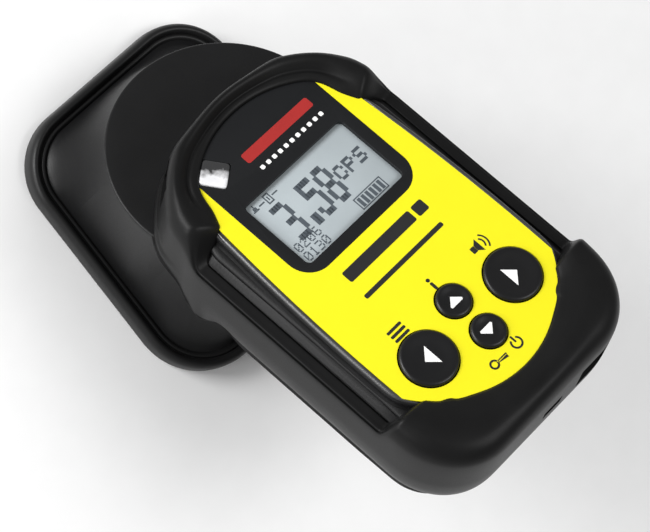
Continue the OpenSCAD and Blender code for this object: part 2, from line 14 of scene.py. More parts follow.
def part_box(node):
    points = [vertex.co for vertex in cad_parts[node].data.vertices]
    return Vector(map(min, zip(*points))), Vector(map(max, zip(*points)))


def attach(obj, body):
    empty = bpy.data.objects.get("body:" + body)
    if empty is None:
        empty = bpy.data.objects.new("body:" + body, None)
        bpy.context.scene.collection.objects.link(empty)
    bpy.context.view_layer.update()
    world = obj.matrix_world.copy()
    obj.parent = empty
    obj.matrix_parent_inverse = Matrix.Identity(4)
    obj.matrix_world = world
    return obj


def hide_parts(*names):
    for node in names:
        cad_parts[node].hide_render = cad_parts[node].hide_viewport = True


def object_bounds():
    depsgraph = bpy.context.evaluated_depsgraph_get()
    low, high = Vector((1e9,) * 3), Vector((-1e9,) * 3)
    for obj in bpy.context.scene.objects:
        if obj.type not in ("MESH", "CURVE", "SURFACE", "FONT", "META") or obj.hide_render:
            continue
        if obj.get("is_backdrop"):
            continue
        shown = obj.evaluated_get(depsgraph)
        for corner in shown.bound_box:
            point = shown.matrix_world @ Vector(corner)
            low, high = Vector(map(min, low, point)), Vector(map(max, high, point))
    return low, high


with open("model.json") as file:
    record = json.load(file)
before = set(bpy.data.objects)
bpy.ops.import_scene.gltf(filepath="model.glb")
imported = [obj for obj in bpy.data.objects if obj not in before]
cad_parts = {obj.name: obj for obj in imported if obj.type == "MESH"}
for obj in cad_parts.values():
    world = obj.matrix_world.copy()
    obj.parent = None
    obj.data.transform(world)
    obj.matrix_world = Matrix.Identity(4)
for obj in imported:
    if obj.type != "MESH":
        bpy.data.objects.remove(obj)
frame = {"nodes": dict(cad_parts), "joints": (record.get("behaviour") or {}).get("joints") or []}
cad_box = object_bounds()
print("parts in the frame:", len(frame["nodes"]))

# %% [markdown]
# The case leans back over its head, so its own axes are turned from the axes of the frame. The keys slide straight
# into the face, and that gives the turn. The case's origin is then read from three parts: the display panel's foot is
# Y = 0, the top of the label is Z = 0, and the middle is X = 0. Every shape on the case is written in these axes, in
# millimetres.

# %% Axes of the case
press = next(j for j in frame["joints"] if j["name"] == "press_left")
case_z = -np.array(press["axis"], float)
case_z /= np.linalg.norm(case_z)
case_x = np.array([1.0, 0.0, 0.0])
case_y = np.cross(case_z, case_x)
MM = 0.001


def vertices(node):
    """All the corners of a part's mesh, in metres, as one array."""
    mesh = frame["nodes"][node].data
    co = np.empty(len(mesh.vertices) * 3)
    mesh.vertices.foreach_get("co", co)
    return co.reshape(-1, 3)


origin = case_y * (vertices("display_window") @ case_y).min() + case_z * (vertices("face_label") @ case_z).max()


def to_row(p):
    """A point of the case in mm becomes a point of the frame in m: origin + x * X + y * Y + z * Z."""
    p = np.asarray(p, float) * MM
    return origin + p[..., 0:1] * case_x + p[..., 1:2] * case_y + p[..., 2:3] * case_z


def extent(node):
    """The lowest and highest corner of a part along the case's axes, in mm."""
    p = (vertices(node) - origin) @ np.array([case_x, case_y, case_z]).T / MM
    return p.min(0), p.max(0)


house_lo, house_hi = extent("rear_housing")
sleeve_lo, sleeve_hi = extent("rubber_sleeve")
label_lo, label_hi = extent("face_label")
panel_lo, panel_hi = extent("display_window")
print("housing", house_lo.round(1), house_hi.round(1))
print("sleeve", sleeve_lo.round(1), sleeve_hi.round(1), "label", label_lo.round(1), "panel", panel_hi.round(1))

# %% [markdown]
# ## Tools for surfaces
# A moulded skin is easiest to hold as a grid: one direction runs round the object, the other runs round the section
# of the rubber. The grid becomes a mesh in one call, its doubled corners are merged, and its faces are then turned
# outwards.

# %% Grid to mesh
def tidy(mesh, sharp=50):
    """Merges doubled corners, points the faces outwards and shades smooth except over edges sharper than the angle."""
    work = bmesh.new()
    work.from_mesh(mesh)
    bmesh.ops.remove_doubles(work, verts=work.verts, dist=0.004 * MM)
    bmesh.ops.recalc_face_normals(work, faces=work.faces)
    work.to_mesh(mesh)
    work.free()
    mesh.shade_smooth()
    mesh.set_sharp_from_angle(angle=np.radians(sharp))
    return mesh


def grid(name, points, wrap_u=True, wrap_v=True, sharp=50):
    """A mesh from an array of points (u, v, 3) in metres. Corner (i, j) joins (i + 1, j) and (i, j + 1)."""
    nu, nv = points.shape[:2]
    index = np.arange(nu * nv).reshape(nu, nv)
    if wrap_u:
        index = np.vstack([index, index[:1]])
    if wrap_v:
        index = np.hstack([index, index[:, :1]])
    quads = np.stack([index[:-1, :-1], index[1:, :-1], index[1:, 1:], index[:-1, 1:]], -1).reshape(-1, 4)
    mesh = bpy.data.meshes.new(name)
    mesh.from_pydata(points.reshape(-1, 3).tolist(), [], quads.tolist())
    return tidy(mesh, sharp)


def place(name, mesh, material, body):
    """Makes the object, gives it its finish, and fixes it to its body."""
    piece = bpy.data.objects.new(name, mesh)
    bpy.context.collection.objects.link(piece)
    mesh.materials.clear()
    mesh.materials.append(material)
    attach(piece, body)
    return piece


def smooth(x, a, b):
    """Rises from 0 at a to 1 at b with level ends: 3 t^2 - 2 t^3."""
    t = np.clip((np.asarray(x, float) - a) / (b - a), 0, 1)
    return t * t * (3 - 2 * t)


def loop(controls, steps):
    """A closed Catmull-Rom curve through control points. Each control is an array, so whole sections blend at once."""
    c = np.asarray(controls, float)
    before, after, far = np.roll(c, 1, 0), np.roll(c, -1, 0), np.roll(c, -2, 0)
    t = (np.arange(steps) / steps).reshape((1, steps) + (1,) * (c.ndim - 1))
    c, before, after, far = c[:, None], before[:, None], after[:, None], far[:, None]
    out = 0.5 * (2 * c + (after - before) * t + (2 * before - 5 * c + 4 * after - far) * t ** 2
                 + (3 * c - before - 3 * after + far) * t ** 3)
    return out.reshape((-1,) + out.shape[2:])


# %% [markdown]
# ## Finishes
# Every finish starts from the same recipe: a slow cloud varies the colour, as dust and handling do, a fine noise
# varies the gloss, and the same fine noise lifts the surface a little, as the grain of a mould does. A recipe with
# settings keeps the materials alike where the real ones are alike. The alternative is a separate node tree for each,
# which is only worth it where the pattern differs.

# %% One recipe for moulded and metal surfaces
def finish(name, color, rough, metallic=0.0, spread=0.12, grain=0.3, grain_mm=0.25, cloud_mm=9.0, coat=0.0,
           specular=0.5, sheen=0.0, stretch=(1, 1, 1)):
    """Colour = color * (1 +- spread) by the cloud. Roughness = rough +- 0.07 and height = grain by the fine noise."""
    material = bpy.data.materials.new(name)
    material.use_nodes = True
    tree = material.node_tree
    shader = tree.nodes["Principled BSDF"]
    place_at = tree.nodes.new("ShaderNodeTexCoord")
    turn = tree.nodes.new("ShaderNodeMapping")
    turn.inputs["Scale"].default_value = stretch
    tree.links.new(place_at.outputs["Object"], turn.inputs["Vector"])
    cloud = tree.nodes.new("ShaderNodeTexNoise")
    cloud.inputs["Scale"].default_value = 1 / (cloud_mm * MM)
    cloud.inputs["Detail"].default_value = 5
    tree.links.new(turn.outputs["Vector"], cloud.inputs["Vector"])
    fine = tree.nodes.new("ShaderNodeTexNoise")
    fine.inputs["Scale"].default_value = 1 / (grain_mm * MM)
    fine.inputs["Detail"].default_value = 3
    tree.links.new(turn.outputs["Vector"], fine.inputs["Vector"])
    shades = tree.nodes.new("ShaderNodeValToRGB")
    shades.color_ramp.elements[0].position = 0.3
    shades.color_ramp.elements[1].position = 0.7
    shades.color_ramp.elements[0].color = [c * (1 - spread) for c in color] + [1]
    shades.color_ramp.elements[1].color = [min(1, c * (1 + spread)) for c in color] + [1]
    tree.links.new(cloud.outputs["Fac"], shades.inputs["Fac"])
    tree.links.new(shades.outputs["Color"], shader.inputs["Base Color"])
    gloss = tree.nodes.new("ShaderNodeMapRange")
    gloss.inputs["To Min"].default_value = max(0.02, rough - 0.07)
    gloss.inputs["To Max"].default_value = min(1.0, rough + 0.07)
    tree.links.new(fine.outputs["Fac"], gloss.inputs["Value"])
    tree.links.new(gloss.outputs["Result"], shader.inputs["Roughness"])
    lift = tree.nodes.new("ShaderNodeBump")
    lift.inputs["Strength"].default_value = grain
    lift.inputs["Distance"].default_value = 0.06 * MM
    tree.links.new(fine.outputs["Fac"], lift.inputs["Height"])
    tree.links.new(lift.outputs["Normal"], shader.inputs["Normal"])
    shader.inputs["Metallic"].default_value = metallic
    shader.inputs["Specular IOR Level"].default_value = specular
    shader.inputs["Coat Weight"].default_value = coat
    shader.inputs["Coat Roughness"].default_value = 0.12
    shader.inputs["Sheen Weight"].default_value = sheen
    return material


# %% [markdown]
# The record names a slot for each part. Here each slot gets its finish: two blacks for hard plastic and rubber, the
# yellow film of the label, the greys of the display, and the metals, ceramics and boards inside.

# %% The palette
FINISHES = {
    "black_housing": finish("black_housing", (0.0065, 0.0065, 0.0068), 0.42, grain=0.5, grain_mm=0.35,
                            specular=0.24),
    "glossy_panel": finish("glossy_panel", (0.0075, 0.008, 0.009), 0.42, spread=0.06, grain=0.05, specular=0.26),
    "yellow_label": finish("yellow_label", (0.80, 0.735, 0.012), 0.46, spread=0.012, grain=0.12, grain_mm=0.18,
                           specular=0.22),
    "sleeve_rubber": finish("sleeve_rubber", (0.0072, 0.0072, 0.0073), 0.4, grain=0.3, grain_mm=0.3, specular=0.13),
    "guard_rubber": finish("guard_rubber", (0.0065, 0.0065, 0.0067), 0.42, grain=0.3, grain_mm=0.3, specular=0.28),
    "display_glass": finish("display_glass", (0.39, 0.435, 0.455), 0.3, spread=0.05, grain=0.02, cloud_mm=14),
    "light_guide": finish("light_guide", (0.75, 0.77, 0.72), 0.35),
    "frame_plastic": finish("frame_plastic", (0.62, 0.62, 0.58), 0.45),
    "lens_clear": finish("lens_clear", (0.75, 0.75, 0.77), 0.16, metallic=0.85, spread=0.35, grain=0.05, cloud_mm=2.2),
    "lamp_red": finish("lamp_red", (0.85, 0.55, 0.45), 0.3),
    "button_rubber": finish("button_rubber", (0.006, 0.006, 0.0065), 0.34, specular=0.3, grain=0.25, grain_mm=0.22),
    "mat_silicone": finish("mat_silicone", (0.05, 0.05, 0.055), 0.6),
    "steel": finish("steel", (0.55, 0.55, 0.56), 0.28, metallic=1.0, stretch=(1, 6, 1), grain_mm=0.12),
    "tinned": finish("tinned", (0.62, 0.63, 0.64), 0.36, metallic=1.0),
    "board_green": finish("board_green", (0.012, 0.085, 0.035), 0.34, grain=0.2, grain_mm=0.6),
    "cell_jacket": finish("cell_jacket", (0.05, 0.10, 0.30), 0.3, grain=0.05),
    "brass_plate": finish("brass_plate", (0.62, 0.50, 0.24), 0.3, metallic=1.0),
    "dark_filter": finish("dark_filter", (0.03, 0.004, 0.006), 0.12, grain=0.02),
    "seal_rubber": finish("seal_rubber", (0.03, 0.028, 0.028), 0.65),
    "lead_jacket": finish("lead_jacket", (0.28, 0.02, 0.02), 0.42),
    "tube_metal": finish("tube_metal", (0.42, 0.43, 0.44), 0.33, metallic=1.0),
    "mica": finish("mica", (0.40, 0.33, 0.24), 0.22, grain=0.08, grain_mm=2.5, cloud_mm=5, spread=0.3, coat=0.5),
    "tungsten": finish("tungsten", (0.45, 0.40, 0.30), 0.3, metallic=1.0),
    "foam": finish("foam", (0.045, 0.045, 0.05), 0.85, grain=0.9, grain_mm=0.8),
    "ferrite": finish("ferrite", (0.05, 0.05, 0.055), 0.6),
    "grille_metal": finish("grille_metal", (0.34, 0.35, 0.36), 0.38, metallic=1.0),
    "key_plastic": finish("key_plastic", (0.02, 0.02, 0.02), 0.45),
}
WHITE_INK = finish("white_ink", (0.86, 0.86, 0.85), 0.45, spread=0.02, grain=0.08)
BLACK_INK = finish("black_ink", (0.012, 0.012, 0.012), 0.42, grain=0.08)
RED_INK = finish("red_ink", (0.36, 0.018, 0.016), 0.42, spread=0.05, grain=0.08)
DARK_DOTS = finish("dark_dots", (0.07, 0.085, 0.10), 0.4, spread=0.1, grain=0.02)
used = set()
for node, part in frame["nodes"].items():
    for held in part.material_slots:
        slot_name = held.material.name.split(".")[0]
        used.add(slot_name)
        if slot_name in FINISHES:
            held.material = FINISHES[slot_name]
print("slots on the frame's parts:", sorted(used))

# %% [markdown]
# ## Walking round the case
# The rubber sleeve and the front shell both follow the housing's plan: a straight tail with two round corners, two
# straight sides and an arched head. One closed walk round that plan, with a direction that points outwards at each
# step, carries both. Measuring inwards along that direction finds how far the rubber reaches over the face.

# %% The walk and its widths
STEPS = 640
HEAD_R, TAIL_R = 33.0, 13.0
half_w = house_hi[0]
tail_y, head_y = house_lo[1], house_hi[1]
arc_y = head_y - HEAD_R


def plan_walk(count):
    """Arcs and straights in order, then evenly spaced by length and eased with a running mean of about 5 mm."""
    meet = np.arccos(half_w / HEAD_R)
    quarter = np.linspace(-np.pi / 2, 0, 60)
    right = (half_w - TAIL_R) + TAIL_R * np.cos(quarter) + 1j * (tail_y + TAIL_R + TAIL_R * np.sin(quarter))
    sweep = np.linspace(meet, np.pi - meet, 240)
    head = HEAD_R * np.cos(sweep) + 1j * (arc_y + HEAD_R * np.sin(sweep))
    walk = np.concatenate([right, head, -np.conj(right[::-1])])
    walk = np.append(walk, walk[0])
    along = np.concatenate([[0], np.cumsum(np.abs(np.diff(walk)))])
    even = np.linspace(0, along[-1], count, endpoint=False)
    walk = np.interp(even, along, walk.real) + 1j * np.interp(even, along, walk.imag)
    width = int(count * 5 / along[-1]) // 2 * 2 + 1
    padded = np.concatenate([walk[-width:], walk, walk[:width]])
    walk = np.convolve(padded, np.ones(width) / width, "same")[width:-width]
    return np.stack([walk.real, walk.imag], -1)


walk = plan_walk(STEPS)
ahead = np.roll(walk, -1, 0) - np.roll(walk, 1, 0)
outward = np.stack([ahead[:, 1], -ahead[:, 0]], -1)
outward /= np.linalg.norm(outward, axis=1)[:, None]
walk_y = walk[:, 1]


def eased(values, width=9):
    """A running mean round the closed walk."""
    padded = np.concatenate([values[-width:], values, values[:width]])
    return np.convolve(padded, np.ones(width) / width, "same")[width:-width]


BOW_Y, BOW_R = -22, 540


def label_side(y):
    """Half width of the label, a shallow bow of radius BOW_R that is widest at BOW_Y: w - (y - BOW_Y)^2 / (2 R)."""
    return label_hi[0] - (np.asarray(y) - BOW_Y) ** 2 / (2 * BOW_R)


def shoulder_side(y):
    """Half width of the sleeve's opening: the label's, less 1.9 at the shoulders and 0.14 for each mm beyond them."""
    return label_side(y) - 1.9 * smooth(y, 24, 27) - 0.14 * np.clip(y - 27, 0, 20)


FOOT_R, ARCH_R, ARCH_Y = 31.1, 31.0, 11.3


def reach_in(side, arch):
    """Distance from the walk to the opening's edge, measured inwards at each step by looking every 0.05 mm."""
    d = np.arange(0, 16, 0.05)
    p = walk[:, None] - outward[:, None] * d[None, :, None]
    x, y = p[..., 0], p[..., 1]
    inside = (np.abs(x) < side(y)) & ((np.hypot(x, y - ARCH_Y) < arch) | (y < ARCH_Y))
    inside &= (np.hypot(x, y - (label_lo[1] + FOOT_R)) < FOOT_R) | (y > label_lo[1] + FOOT_R)
    return eased(eased(d[inside.argmax(1)], 15), 9)


lip_in = reach_in(shoulder_side, ARCH_R)
label_in = reach_in(label_side, ARCH_R)
print("walk", STEPS, "steps, rubber reaches in", lip_in.min().round(1), "to", lip_in.max().round(1), "mm")

# %% [markdown]
# ## The rubber sleeve
# The sleeve is one soft moulding: a band round the case, a fat roll over the head, a broad bumper over the tail, and a
# long window on each side that leaves the hand on the ribbed case. It could be sculpted, or cut from a block. Here it
# is one closed section carried round the walk. Four crowns are drawn as a handful of points, for the head, its
# shoulders, the tail and the sides, and each step of the walk blends them, so the bumpers melt into the sides as
# rubber does. The arch is fuller at its two corners than the case inside it, and its wall flares a little downwards.
# Towards the head's end the section is squeezed short below the arch, because the head is in its place there.

# %% Section of the sleeve
SHOULDER_CROWN = [(0, -.35), (0, .25), (.05, .7), (.13, 1.25), (.24, 1.8), (.36, 2.25), (.5, 2.6), (.67, 2.6),
                  (.84, 1.5), (.97, -1.2), (1, -4.5)]
HEAD_CROWN = [(0, -.35), (0, .3), (.06, .8), (.2, 1.1), (.33, .8), (.42, 1.5), (.58, 2.65), (.75, 2.8), (.9, 1.5),
              (.985, -1.2), (1, -4.5)]
TAIL_CROWN = [(0, -.35), (0, .4), (.05, .8), (.16, 1.3), (.3, 1.85), (.46, 2.3), (.62, 2.3), (.77, 1.8), (.9, .4),
              (.98, -2), (1, -5)]
SIDE_CROWN = [(0, -7), (.02, -5.9), (.08, -5.35), (.25, -5.35), (.5, -5.45), (.7, -5.5), (.8, -5.65), (.86, -6.2),
              (.91, -5.95), (.97, -6.1), (1, -8)]
RUN_OUT = [(0, -12), (-.1, -16), (-.7, -20.5), (-2, -24.5), (-3.8, -27.8), (-5.9, -30.4), (-7.8, -32.1),
           (-9.8, -33)]
TAIL_END, HEAD_START, ARCH_START, NECK_SPAN = (-37.8, -34.2), (20.5, 27), (10, 20), (6, 32)
FULLER, FLARE = 2.1, 1.5
back_low, back_in = sleeve_lo[2], house_lo[2]
is_tail = 1 - smooth(walk_y, *TAIL_END)
is_head = smooth(walk_y, *HEAD_START)
is_side = 1 - is_tail - is_head
is_arch = smooth(walk_y, *ARCH_START)
side_out, end_out = sleeve_hi[0] - half_w, tail_y - sleeve_lo[1]
fuller = FULLER * smooth(walk_y, 23.5, 30.5) * (1 - smooth(walk_y, 39, 43))
out = side_out + (end_out - side_out) * outward[:, 1] ** 2 + fuller


def crown(head, shoulder, tail, side):
    """One control point of the crown at every step: offset from the walk and height, blended from the four crowns."""
    arch = shoulder + (np.array(head) - shoulder) * smooth(walk_y, 27, 35)[:, None]
    over = -lip_in + (out + lip_in) * (arch[:, 0] * is_head + tail[0] * (1 - is_head))
    n = over * (1 - is_side) + out * side[0] * is_side
    return np.stack([n, arch[:, 1] * is_head + tail[1] * is_tail + side[1] * is_side], -1)


def sleeve_section():
    """All control points of the closed section, (control, step, (offset, height)): crown, wall, back edge, inside."""
    rows = [crown(*four) for four in zip(HEAD_CROWN, SHOULDER_CROWN, TAIL_CROWN, SIDE_CROWN)]
    sideways = np.abs(outward[:, 0])
    window_side = 9 * smooth(sideways, 0, .9) + 2.4 * smooth(walk_y, -40, -28)
    room = np.where(walk_y < 0, .72 + .28 * smooth(sideways, 0, 1), 1) * (1 - is_arch)
    back_edge = np.minimum(-(3 + window_side) * (1 - is_arch) - .4, out + RUN_OUT[-1][0] * room - .6)
    spread = FLARE * smooth(walk_y, 24, 33)
    rows += [np.stack([out + n * room + spread * smooth(-z, 4, 22), np.full(STEPS, z)], -1) for n, z in RUN_OUT]
    rows += [np.stack([back_edge + n, np.full(STEPS, z)], -1) for n, z in [(.5, back_low), (0, back_low + .4),
                                                                          (0, back_in - .3), (.5, back_in)]]
    rows += [np.stack([np.full(STEPS, n), np.full(STEPS, z)], -1) for n, z in [(-1.2, back_in + .1),
             (-.2, back_in + 1.6), (0, -26), (0, -20), (0, -14), (0, -9)]]
    rows.append(np.stack([-.6 * (1 - is_side), -.7 * (1 - is_side) - 7.4 * is_side], -1))
    return np.array(rows)


NECK_Z, NECK_SCALE = -14, 0.17
section = loop(sleeve_section(), 4)
keep_low = 1 - smooth(walk_y, *NECK_SPAN)
foot_scale = keep_low + (1 - keep_low) * NECK_SCALE
z = section[..., 1]
section[..., 1] = np.where(z < NECK_Z, NECK_Z + (z - NECK_Z) * foot_scale, z)


def carry(section):
    """Section points (v, u, (offset, height)) become points on the case: walk + outward * offset, at that height."""
    flat = walk[None] + outward[None] * section[..., 0:1]
    return np.concatenate([flat, section[..., 1:2]], -1).transpose(1, 0, 2)


sleeve_points = carry(section)
sleeve_points[..., 0] = sleeve_points[..., 0].clip(sleeve_lo[0], sleeve_hi[0])
sleeve_mesh = grid("rubber_sleeve_skin", to_row(sleeve_points), sharp=70)
print("sleeve skin:", len(sleeve_mesh.polygons), "faces")

# %% [markdown]
# ## Flat pieces from outlines
# The face plate, the display panel and all the printed marks are flat: an outline, perhaps with holes, given a
# thickness. A filled curve does that and cuts the holes by itself. It is turned into a mesh at once, so that the
# export meets plain geometry.

# %% Outline to plate
def plate(name, outlines, top, low, soft=0.0):
    """A plate between two heights. Each outline is an array of points (x, y) in mm, and inner ones become holes."""
    curve = bpy.data.curves.new(name, "CURVE")
    curve.dimensions, curve.fill_mode = "2D", "BOTH"
    curve.extrude = (top - low) / 2 - soft
    curve.bevel_depth, curve.bevel_resolution, curve.offset = soft, 2, -soft
    for outline in outlines:
        spline = curve.splines.new("POLY")
        outline = np.asarray(outline, float)
        spline.points.add(len(outline) - 1)
        count = len(outline)
        spline.points.foreach_set("co", np.column_stack([outline, np.zeros(count), np.ones(count)]).ravel())
        spline.use_cyclic_u = True
    drawn = bpy.data.objects.new(name, curve)
    bpy.context.collection.objects.link(drawn)
    bpy.context.view_layer.update()
    mesh = bpy.data.meshes.new_from_object(drawn.evaluated_get(bpy.context.evaluated_depsgraph_get()))
    bpy.data.objects.remove(drawn)
    co = np.empty(len(mesh.vertices) * 3)
    mesh.vertices.foreach_get("co", co)
    co = co.reshape(-1, 3) + (0, 0, (top + low) / 2)
    mesh.vertices.foreach_set("co", to_row(co).ravel())
    mesh.name = name
    return tidy(mesh, 35)


def ring(x, y, r, count=64):
    """A circle as points."""
    a = np.linspace(0, 2 * np.pi, count, endpoint=False)
    return np.column_stack([x + r * np.cos(a), y + r * np.sin(a)])


def round_box(x, y, w, h, r, turn=0.0, count=8):
    """A rectangle with round corners about (x, y), turned by an angle in degrees."""
    a = np.concatenate([np.linspace(q, q + np.pi / 2, count) for q in np.arange(4) * np.pi / 2])
    sx = np.repeat([1, -1, -1, 1], count) * (w / 2 - r)
    sy = np.repeat([1, 1, -1, -1], count) * (h / 2 - r)
    p = (sx + r * np.cos(a)) + 1j * (sy + r * np.sin(a))
    p = p * np.exp(1j * np.radians(turn))
    return np.column_stack([x + p.real, y + p.imag])


# %% [markdown]
# The sleeve has three pockets in its walls: a slot at the left of the head arch, turned to face outwards there, a wide
# one at the tail where a wrist strap loops round a pin, and a small slit in front of the data window. A boolean with
# three small blocks cuts them cleanly, where moving grid points would leave a ragged edge.

# %% Pockets
def block(name, lo, hi, soft=0.5, bend=4):
    """A box with round corners: a bevelled cube, in the case's axes. Used as a tool and for small moulded parts."""
    work = bmesh.new()
    bmesh.ops.create_cube(work, size=1)
    for vertex in work.verts:
        vertex.co = Vector([lo[i] + (vertex.co[i] + .5) * (hi[i] - lo[i]) for i in range(3)])
    if soft:
        bmesh.ops.bevel(work, geom=work.edges[:], offset=soft, segments=bend, profile=.5, affect="EDGES")
    mesh = bpy.data.meshes.new(name)
    work.to_mesh(mesh)
    work.free()
    return in_case(mesh)


def in_case(mesh):
    """Takes a mesh drawn in mm on the case's axes to its place in the frame."""
    co = np.empty(len(mesh.vertices) * 3)
    mesh.vertices.foreach_get("co", co)
    mesh.vertices.foreach_set("co", to_row(co.reshape(-1, 3)).ravel())
    mesh.update()
    return mesh


def cut(piece, tools):
    """Takes closed meshes away from a piece, one after another, and keeps the result as its mesh."""
    for tool in tools:
        cutter = bpy.data.objects.new("cutter", tool)
        bpy.context.collection.objects.link(cutter)
        step = piece.modifiers.new("cut", "BOOLEAN")
        step.operation, step.solver, step.object = "DIFFERENCE", "EXACT", cutter
        bpy.context.view_layer.update()
        made = bpy.data.meshes.new_from_object(piece.evaluated_get(bpy.context.evaluated_depsgraph_get()))
        piece.modifiers.remove(step)
        piece.data = made
        bpy.data.objects.remove(cutter)
    return piece


pin_lo, pin_hi = extent("strap_pin")
port_lo, port_hi = extent("infrared_window")
pin_z = (pin_lo[2] + pin_hi[2]) / 2
sleeve = place("rubber_sleeve_skin", sleeve_mesh, FINISHES["sleeve_rubber"], "case")
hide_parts("rubber_sleeve")
STRAP_HALF, PORT_GAP, PAST_RUBBER = 4.4, .2, 12
SLOT_AT, SLOT_SIZE, SLOT_TURN, SLOT_TOP, SLOT_LOW = (-21.5, 40.5), (6, 8.3), 125, .2, -9.5
pockets = [block("strap_pocket", (pin_lo[0] + .1, tail_y - PAST_RUBBER, pin_z - STRAP_HALF),
                 (pin_hi[0] - .1, tail_y + .2, pin_z + STRAP_HALF)),
           block("port_slit", (port_lo[0] - PORT_GAP, tail_y - PAST_RUBBER, port_lo[2] - PORT_GAP),
                 (port_hi[0] + PORT_GAP, tail_y, port_hi[2] + PORT_GAP), .3),
           plate("arch_slot", [round_box(*SLOT_AT, *SLOT_SIZE, .6, SLOT_TURN)], SLOT_TOP, SLOT_LOW)]
faces_before = len(sleeve.data.polygons)
cut(sleeve, pockets)
sleeve.data.shade_smooth()
sleeve.data.set_sharp_from_angle(angle=np.radians(60))
print("pockets cut:", faces_before, "to", len(sleeve.data.polygons), "faces")

# %% [markdown]
# ## The front shell
# Inside each side window the case shows a step down from the label, a hollow beside it, and a ridge where the rubber
# begins. The shell follows the same walk, so the hollow keeps its distance from the bowed edge of the label. Under the
# rubber its section lies flat. The bright rail that lies along the label is a piece of its own, made after it.

# %% Section of the shell
SHELL_TOP = [(-3.2, -.36), (-.15, -.38), (.1, -.95), (.3, -.85), (.6, -.75), (.9, -.75), (1.25, -.95), (1.5, -1.5),
             (1.6, -2.3)]
SHELL_SIDE = [(.2, -3.6), (.5, -4.7), (.8, -5.3)]


def shell_section():
    """Control points of the shell. The first are measured from the label's edge, the next between hollow and rim."""
    def flat(z):
        """The given height in the side windows, and at most -0.6 under the rubber."""
        return z * is_side + np.minimum(z, -.6) * (1 - is_side)
    rows = [np.stack([-label_in + n, flat(z) * np.ones(STEPS)], -1) for n, z in SHELL_TOP]
    rail_end = -label_in + 1.6
    rows += [np.stack([rail_end * (1 - q), np.full(STEPS, z)], -1) for q, z in SHELL_SIDE]
    plain = [(-.3, -5.5), (-.05, -5.6), (0, -5.4), (0, -9), (0, -15), (-.4, -15.2), (-1.6, -15.2), (-2, -15), (-2, -6),
             (-2.4, -3.2)]
    rows += [np.stack([np.full(STEPS, n), np.full(STEPS, z)], -1) for n, z in plain]
    rows += [np.stack([-label_in + n, np.full(STEPS, z)], -1) for n, z in [(-2.6, -3.0), (-3.2, -2.4)]]
    return np.array(rows)


shell_mesh = grid("front_shell", to_row(carry(loop(shell_section(), 4))), sharp=70)
shell = place("front_shell", shell_mesh, FINISHES["black_housing"], "case")
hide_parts("front_housing")
print("front shell:", len(shell_mesh.polygons), "faces")

# %% [markdown]
# The rail itself is a slim polished bead between the label and the hollow. It catches the light along its whole
# length, so it has a glossier finish than the shell, and it is a round bar whose ends taper into the shell.

# %% Rails
RAIL_R, RAIL_LOW, RAIL_HIGH, RAIL_IN = .78, -40.0, 27.0, .5
RAIL_FINISH = finish("rail_plastic", (0.02, 0.02, 0.02), 0.36, grain=0.7, grain_mm=0.3, specular=1.0)


def rail(name, side):
    """A round bar along the label's edge. Its radius is RAIL_R * (1 - t^8), with t from -1 to 1 along the bar."""
    chosen = np.flatnonzero((walk[:, 0] * side > half_w * .6) & (walk_y > RAIL_LOW) & (walk_y < RAIL_HIGH))
    chosen = chosen[np.argsort(walk_y[chosen])]
    middle_line = walk[chosen] - outward[chosen] * (label_in[chosen] - RAIL_IN)[:, None]
    t = np.linspace(-1, 1, len(chosen))
    r = (RAIL_R * (1 - t ** 8))[:, None]
    a = np.linspace(0, 2 * np.pi, 24, endpoint=False)
    flat = middle_line[:, None] + outward[chosen][:, None] * (r * np.cos(a))[..., None]
    height = -RAIL_R + r * np.sin(a)
    place(name, grid(name, to_row(np.concatenate([flat, height[..., None]], -1)), wrap_u=False), RAIL_FINISH, "case")


rail("rail_left", -1)
rail("rail_right", 1)

# %% [markdown]
# The front shell and the plate under the label are one moulding, and so are the head and its screw bosses. Each closed
# form is made by itself and then joined to the piece as a further island, which keeps the meshes simple.

# %% Join
def join(piece, *meshes):
    """Adds more meshes to a piece, as further closed islands of the same moulding."""
    work = bmesh.new()
    work.from_mesh(piece.data)
    for mesh in meshes:
        work.from_mesh(mesh)
    work.to_mesh(piece.data)
    work.free()
    return piece


# %% [markdown]
# ## Face plate and display panel
# Under the label lies the front shell's plate, with holes for the keys, the display and the lens. The display panel
# is a glossy black tongue with a clear middle. Real ones are one sheet of acrylic printed black from behind. Two
# pieces, a black surround and a clear pane, give the same look and export more simply than a pattern of clear and
# black on one sheet.

# %% Plates
KEY_LIP = .65
KEYS = {key: extent("button_" + key) for key in ("left", "right", "up", "down")}
key_at = {key: ((lo + hi) / 2)[:2] for key, (lo, hi) in KEYS.items()}
key_r = {key: (hi[0] - lo[0]) / 2 - KEY_LIP for key, (lo, hi) in KEYS.items()}
view_lo, view_hi = extent("lcd_panel")
view_mid = (view_lo + view_hi) / 2
view_w, view_h = (view_hi - view_lo)[:2] - 4
lens_lo, lens_hi = extent("alarm_lens")
lens_at = ((lens_lo + lens_hi) / 2)[:2]
LENS_SIDE, LENS_TURN = 6.6, 35
plate_low = lens_lo[2]
PLATE_HALF, PLATE_R = 26, 27
sweep = np.linspace(np.radians(-150), np.radians(-30), 40)
foot = np.column_stack([PLATE_HALF * np.cos(sweep), label_lo[1] + 1 + PLATE_R + PLATE_R * np.sin(sweep)])
lower = np.vstack([foot, [(22.5, -.4), (-22.5, -.4)]])
holes = [ring(*key_at[key], key_r[key] + .3) for key in KEYS]
upper = np.vstack([ring(0, arc_y, HEAD_R - 2.6, 120)[4:57], [(-21.8, .4), (21.8, .4)]])
upper[:, 0] = np.clip(upper[:, 0], -22, 22)
opening = round_box(view_mid[0], view_mid[1], view_w + 1.6, view_h + 1.6, .6)
lens_hole = round_box(*lens_at, LENS_SIDE + .2, LENS_SIDE + .2, .4, LENS_TURN)
